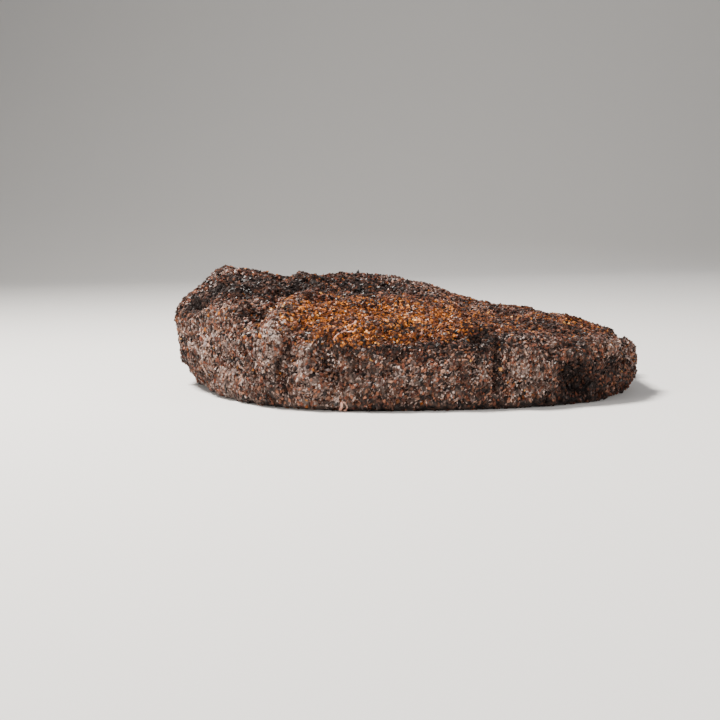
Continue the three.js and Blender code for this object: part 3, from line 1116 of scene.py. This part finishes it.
class Scatter:
    """Lays loose grains over the skin."""

    TILT = 0.3
    STRAY = 0.35
    UNDERSIDE_FROM = 1.5 * MM
    UNDERSIDE_DEPTH = 6 * MM
    UNDERSIDE_SHARE = 0.12
    PATCHY_SIZE = 9 * MM

    # A grain's corners and its eight faces, before it is bent out of shape
    CORNERS = np.array([(1, 0, 0), (0, 1, 0), (-1, 0, 0), (0, -1, 0), (0, 0, 1), (0, 0, -1)], float)
    FACES = np.array(
        [(0, 1, 4), (1, 2, 4), (2, 3, 4), (3, 0, 4), (1, 0, 5), (2, 1, 5), (3, 2, 5), (0, 3, 5)]
    )

    def __init__(self, skin: bpy.types.Object, surface: Surface) -> None:
        """Reads the skin's triangles, which the grains are laid on."""
        mesh = skin.data
        mesh.calc_loop_triangles()
        corners = np.empty(len(mesh.loop_triangles) * 3, np.int32)
        mesh.loop_triangles.foreach_get("vertices", corners)
        self.triangles = mesh_points(mesh)[corners.reshape(-1, 3)]
        first = self.triangles[:, 1] - self.triangles[:, 0]
        second = self.triangles[:, 2] - self.triangles[:, 0]
        across = np.cross(first, second)
        area = np.linalg.norm(across, axis=1)
        self.normals = across / np.maximum(area, 1e-12)[:, None]
        self.area = area / 2.0
        self.surface = surface

    def lay(self, kind: GrainKind, seed: int) -> bpy.types.Object:
        """Lays one kind of grain.

        Args:
            kind: the kind of grain.
            seed: where its random numbers start.

        Returns:
            All of its grains as one piece.
        """
        rng = np.random.default_rng(seed)
        points, normals = self._spots(kind, rng)
        mesh = self._grains(kind, points, normals, rng)
        piece = link(mesh, kind.finish.material())
        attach(piece, BODY)
        return piece

    def _spots(self, kind: GrainKind, rng: np.random.Generator) -> tuple[np.ndarray, np.ndarray]:
        """Chooses the places of a kind's grains, and the way the skin faces there."""
        middles = self.triangles.mean(1)
        wanted = np.full(len(middles), kind.everywhere)
        for region, pull in kind.gathers:
            wanted += pull * self.surface.strength(region, middles)
        height = (middles[:, 2] - self.UNDERSIDE_FROM) / self.UNDERSIDE_DEPTH
        underside = np.clip(height, self.UNDERSIDE_SHARE, 1.0)
        weight = np.clip(wanted, 0.01, None) * underside * self.area
        picked = rng.choice(len(weight), size=kind.count, p=weight / weight.sum())
        share = rng.random((kind.count, 2))
        over = share.sum(1) > 1.0
        share[over] = 1.0 - share[over]
        corner = self.triangles[picked]
        points = corner[:, 0] + share[:, :1] * (corner[:, 1] - corner[:, 0])
        points += share[:, 1:] * (corner[:, 2] - corner[:, 0])
        return points, self.normals[picked]

    def _grains(
        self, kind: GrainKind, points: np.ndarray, normals: np.ndarray, rng: np.random.Generator
    ) -> bpy.types.Mesh:
        """Builds a grain at each place and joins them.

        Args:
            kind: the kind of grain.
            points: the grains' places.
            normals: the way the skin faces at each.
            rng: the random numbers.

        Returns:
            The joined mesh, with its tint, soot and map.
        """
        count = len(points)
        length = rng.triangular(kind.length[0], kind.length[0], kind.length[1], count) * MM
        length *= 1.1 - 0.3 * self.surface.along(points)
        middle = rng.uniform(*kind.width, count)
        thin = rng.uniform(*kind.flatness, count) * middle
        stretch = np.stack([np.ones(count), middle, thin], 1) * (length * 0.5)[:, None]
        bent = self.CORNERS[None] + rng.uniform(-kind.corners, kind.corners, (count, 6, 3))
        local = bent * stretch[:, None, :]
        axes = self._frames(normals, self.surface.grain_ways(points, normals), rng)
        lift = (1.0 - 2.0 * kind.buried) * stretch[:, 2]
        world = np.einsum("nkc,ncd->nkd", local, axes)
        world += (points + normals * lift[:, None])[:, None, :]
        world[..., 2] = np.maximum(world[..., 2], 0.0)
        faces = (self.FACES[None] + len(self.CORNERS) * np.arange(count)[:, None, None]).reshape(-1, 3)
        mesh = self._mesh(kind.name, world.reshape(-1, 3), faces)
        self._tint(kind, mesh, points, rng)
        self._map(mesh, count)
        return mesh

    def _tint(
        self, kind: GrainKind, mesh: bpy.types.Mesh, points: np.ndarray, rng: np.random.Generator
    ) -> None:
        """Gives each grain its own tint, and soot with painted shade, the same at all of its corners.

        Args:
            kind: the kind of grain.
            mesh: the joined grains.
            points: the grains' places.
            rng: the random numbers.
        """
        patchy = 0.5 + 0.8 * self.surface.lattice.clouds(points, self.PATCHY_SIZE, 2)
        dust_and_sheen = self.surface.strength(Region.DUST_AND_SHEEN, points)
        # Dust and its painted sheen lighten the tint
        tint = np.clip(0.72 * rng.random(len(points)) + 0.28 * patchy + 0.14 * dust_and_sheen, 0.0, 1.0)
        golden = self.surface.strength(Region.GOLDEN, points)
        pit_shade = self.surface.strength(Region.PIT_SHADE, points)
        # Grains in the painted pit shade are blackened as shade, on top of their own soot
        shade = np.clip(kind.sooty * rng.random(len(points)) * (1.0 - golden) + pit_shade, 0.0, 1.0)
        write_numbers(mesh, "tint", np.repeat(tint, len(self.CORNERS)))
        write_numbers(mesh, "soot_and_shade", np.repeat(shade, len(self.CORNERS)))

    @staticmethod
    def _frames(normals: np.ndarray, ways: np.ndarray, rng: np.random.Generator) -> np.ndarray:
        """Axes for each grain: its length roughly along the bark's lie, its third off the skin.

        Args:
            normals: the way that the skin faces at each grain.
            ways: the lie of the bark there.
            rng: the random numbers.

        Returns:
            Three unit rows for each grain.
        """
        count = len(normals)
        tilted = normals + rng.normal(0.0, Scatter.TILT, (count, 3))
        up = tilted / np.linalg.norm(tilted, axis=1)[:, None]
        strayed = ways + rng.normal(0.0, Scatter.STRAY, (count, 3))
        first = strayed - up * (strayed * up).sum(1)[:, None]
        first /= np.linalg.norm(first, axis=1)[:, None]
        return np.stack([first, np.cross(up, first), up], 1)

    @staticmethod
    def _mesh(name: str, points: np.ndarray, faces: np.ndarray) -> bpy.types.Mesh:
        """Makes a flat-shaded mesh from points and three-sided faces."""
        mesh = bpy.data.meshes.new(name)
        mesh.vertices.add(len(points))
        mesh.vertices.foreach_set("co", points.astype(np.float32).ravel())
        mesh.loops.add(faces.size)
        mesh.loops.foreach_set("vertex_index", faces.astype(np.int32).ravel())
        mesh.polygons.add(len(faces))
        mesh.polygons.foreach_set("loop_start", np.arange(0, faces.size, 3, dtype=np.int32))
        mesh.update(calc_edges=True)
        mesh.shade_flat()
        return mesh

    def _map(self, mesh: bpy.types.Mesh, count: int) -> None:
        """Gives each grain its own square of the map, which all of its faces share."""
        across = math.ceil(math.sqrt(count))
        number = np.arange(count)
        origin = np.stack([number % across, number // across], 1) / across
        corner = np.array([(0.2, 0.2), (0.8, 0.2), (0.5, 0.8)]) / across
        uv = origin[:, None, None, :] + corner[None, None]
        uv = np.broadcast_to(uv, (count, len(self.FACES), 3, 2))
        layer = mesh.uv_layers.new(name=MAP_NAME)
        layer.data.foreach_set("uv", uv.astype(np.float32).ravel())


# ---------------------------------------------------------------- fat


@dataclass
class FatShreds:
    """Strings of rendered fat that lie on the bark, joined as one piece.

    Each route starts with a string's thickness in millimetres and goes on with its way over the meat,
    as shares of the frame's box.
    """

    name: str
    routes: tuple[tuple[float, tuple[tuple[float, float, float], ...]], ...]
    steps: int = 40
    sides: int = 8
    seed: int = 5
    clearance: float = 0.6 * MM

    def build(self, skin: bpy.types.Object) -> bpy.types.Object:
        """Makes the strings.

        Args:
            skin: the skin that they lie on.

        Returns:
            The piece, dressed and riding on the body.
        """
        tree = BVHTree.FromObject(skin, bpy.context.evaluated_depsgraph_get())
        rng = np.random.default_rng(self.seed)
        mesh = bmesh.new()
        for thickness, route in self.routes:
            points, normals = self._lie(tree, route)
            self._add_tube(mesh, points, normals, thickness * MM, rng)
        bmesh.ops.recalc_face_normals(mesh, faces=mesh.faces)
        joined = bpy.data.meshes.new(self.name)
        mesh.to_mesh(joined)
        mesh.free()
        joined.shade_smooth()
        piece = link(joined, FatFinish().material())
        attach(piece, BODY)
        return piece

    def _lie(
        self, tree: BVHTree, route: tuple[tuple[float, float, float], ...]
    ) -> tuple[np.ndarray, np.ndarray]:
        """Lays a route down on the skin.

        Args:
            tree: the skin's faces.
            route: shares of the frame's box.

        Returns:
            Points along it, and the way that the skin faces at each.
        """
        low, high = (np.array(corner) for corner in CAD_BOX)
        known = np.array(route)
        stations = np.linspace(0.0, len(known) - 1.0, self.steps)
        shares = np.stack([np.interp(stations, np.arange(len(known)), known[:, k]) for k in range(3)], 1)
        free = low + (high - low) * shares
        for _ in range(4):
            free[1:-1] = (free[:-2] + 2 * free[1:-1] + free[2:]) / 4.0
        touched = [tree.find_nearest(Vector(point)) for point in free.tolist()]
        points = np.array([hit[0] for hit in touched])
        normals = np.array([hit[1] for hit in touched])
        for _ in range(4):
            points[1:-1] = (points[:-2] + 2 * points[1:-1] + points[2:]) / 4.0
            normals[1:-1] = (normals[:-2] + 2 * normals[1:-1] + normals[2:]) / 4.0
        return points, normals / np.linalg.norm(normals, axis=1)[:, None]

    def _add_tube(
        self,
        mesh: bmesh.types.BMesh,
        points: np.ndarray,
        normals: np.ndarray,
        thickness: float,
        rng: np.random.Generator,
    ) -> None:
        """Adds a tube of uneven thickness along points, closed at both ends.

        Args:
            mesh: what it is added to.
            points: the way along the skin.
            normals: the way that the skin faces there.
            thickness: how thick the tube is at its middle.
            rng: the random numbers of its unevenness.
        """
        knots = np.arange(0, self.steps + 3, 3)
        uneven = np.interp(np.arange(self.steps), knots, rng.random(len(knots)))
        ends = np.sin(np.linspace(0.12, math.pi - 0.12, self.steps)) ** 0.5
        radius = thickness / 2.0 * (0.45 + 1.1 * uneven) * ends
        along = np.gradient(points, axis=0)
        along /= np.linalg.norm(along, axis=1)[:, None]
        side = np.cross(along, normals)
        side /= np.linalg.norm(side, axis=1)[:, None]
        up = np.cross(side, along)
        turn = np.linspace(0.0, 2 * math.pi, self.sides, endpoint=False)
        ring = np.cos(turn)[None, :, None] * side[:, None] + np.sin(turn)[None, :, None] * up[:, None]
        middle = points + up * (radius * 0.5 + self.clearance)[:, None]
        rings = [
            [mesh.verts.new(corner) for corner in row]
            for row in (middle[:, None] + ring * radius[:, None, None]).tolist()
        ]
        for here, beyond in zip(rings[:-1], rings[1:]):
            for k in range(self.sides):
                beside = (k + 1) % self.sides
                mesh.faces.new((here[k], here[beside], beyond[beside], beyond[k]))
        mesh.faces.new(rings[0][::-1])
        mesh.faces.new(rings[-1])


FAT: tuple[FatShreds, ...] = (
    FatShreds(
        "fat_strand",
        (
            (
                2.1,
                (
                    (0.366, 0.043, 0.500), (0.370, 0.047, 0.545), (0.385, 0.050, 0.570),
                    (0.403, 0.075, 0.590), (0.399, 0.125, 0.600), (0.418, 0.155, 0.603),
                    (0.430, 0.205, 0.610), (0.422, 0.245, 0.620), (0.440, 0.275, 0.630),
                ),
            ),
            (
                1.2,
                (
                    (0.385, 0.050, 0.570), (0.402, 0.048, 0.560),
                    (0.412, 0.080, 0.580), (0.417, 0.120, 0.590),
                ),
            ),
        ),
    ),
    FatShreds(
        "fat_scrap",
        (
            (
                1.3,
                (
                    (0.374, 0.040, 0.010), (0.374, 0.036, 0.045),
                    (0.380, 0.030, 0.075), (0.388, 0.030, 0.060),
                ),
            ),
            (1.1, ((0.388, 0.032, 0.062), (0.383, 0.034, 0.035), (0.378, 0.037, 0.020))),
        ),
        seed=9,
    ),
)


# ---------------------------------------------------------------- studio


@dataclass
class Studio:
    """Pale floor and backdrop, soft lights and the camera."""

    eye: tuple[float, float, float] = (-0.028, -0.885, 0.121)
    tilt_deg: float = 6.63
    roll_deg: float = -1.15
    lens: float = 61.95
    floor_half: float = 4.0
    rise_from: float = 1.6
    rise_radius: float = 1.2
    rise_steps: int = 16
    glow: Colour = (0.95, 0.96, 1.0)
    glow_strength: float = 0.16

    def build(self) -> None:
        """Sets up the floor, lights and camera."""
        self._floor()
        self._lights()
        self._camera()

    def _camera(self) -> None:
        """Looks along the long side's normal from low down, a little to the left of the middle."""
        optics = bpy.data.cameras.new("camera")
        optics.lens = self.lens
        optics.sensor_width = 36.0
        optics.clip_start = 0.01
        camera = bpy.data.objects.new("camera", optics)
        level = Euler((math.radians(90.0 - self.tilt_deg), 0.0, 0.0)).to_matrix()
        turned = level @ Matrix.Rotation(math.radians(self.roll_deg), 3, "Z")
        camera.matrix_world = Matrix.Translation(self.eye) @ turned.to_4x4()
        bpy.context.scene.collection.objects.link(camera)
        bpy.context.scene.camera = camera

    def _floor(self) -> None:
        """A floor that curves up into a backdrop behind."""
        profile = [(-self.floor_half, 0.0), (self.rise_from, 0.0)]
        for step in range(1, self.rise_steps + 1):
            angle = math.pi / 2 * step / self.rise_steps
            y = self.rise_from + self.rise_radius * math.sin(angle)
            profile.append((y, self.rise_radius * (1.0 - math.cos(angle))))
        profile.append((self.rise_from + self.rise_radius, self.floor_half))
        verts = [(x, y, z) for y, z in profile for x in (-self.floor_half, self.floor_half)]
        faces = [(2 * k, 2 * k + 1, 2 * k + 3, 2 * k + 2) for k in range(len(profile) - 1)]
        mesh = bpy.data.meshes.new("studio_floor")
        mesh.from_pydata(verts, [], faces)
        mesh.shade_smooth()
        link(mesh, FloorFinish().material())

    def _lights(self) -> None:
        """A key from above on the left, fills from three sides, a weak sheen from behind and a surround."""
        self._panel("key_light", (-0.55, 0.0, 1.2), 0.34, 56.0, (1.0, 0.95, 0.89))
        self._panel("left_light", (-1.1, -1.0, 0.6), 0.5, 9.0, (1.0, 0.96, 0.92))
        self._panel("right_light", (1.1, -0.75, 0.5), 0.6, 8.0, (1.0, 0.97, 0.95))
        self._panel("sheen_light", (0.35, 1.5, 0.9), 1.0, 3.0, (0.97, 0.96, 1.0))
        self._panel("front_fill", (0.2, -1.7, 0.7), 1.3, 6.5, (1.0, 0.98, 0.96))
        world = bpy.data.worlds.new("surround")
        bpy.context.scene.world = world
        world.use_nodes = True
        glow = world.node_tree.nodes["Background"]
        glow.inputs["Color"].default_value = (*self.glow, 1.0)
        glow.inputs["Strength"].default_value = self.glow_strength

    @staticmethod
    def _panel(
        name: str, place: tuple[float, float, float], width: float, watts: float, colour: Colour
    ) -> None:
        """Hangs a square soft light that faces the meat.

        Args:
            name: the light's name.
            place: where it hangs.
            width: its width.
            watts: its power.
            colour: its colour.
        """
        lamp = bpy.data.lights.new(name, "AREA")
        lamp.size = width
        lamp.energy = watts
        lamp.color = colour
        panel = bpy.data.objects.new(name, lamp)
        panel.location = place
        away = Vector(place) - Vector((0.0, 0.0, 0.04))
        panel.rotation_euler = away.to_track_quat("Z", "Y").to_euler()
        bpy.context.scene.collection.objects.link(panel)


# ---------------------------------------------------------------- everything in order


def main() -> None:
    """Builds the brisket and its studio."""
    logging.basicConfig(level=logging.INFO, format="%(message)s")
    surface = Surface(Lattice(11))
    skin = Skin(surface, Lattice(23)).build()
    log.info("%s: %d faces", skin.name, len(skin.data.polygons))
    scatter = Scatter(skin, surface)
    for number, kind in enumerate(GRAINS):
        piece = scatter.lay(kind, seed=100 + number)
        log.info("%s: %d faces", piece.name, len(piece.data.polygons))
    for shreds in FAT:
        piece = shreds.build(skin)
        log.info("%s: %d faces", piece.name, len(piece.data.polygons))
    Studio().build()


if __name__ == "__main__":
    main()
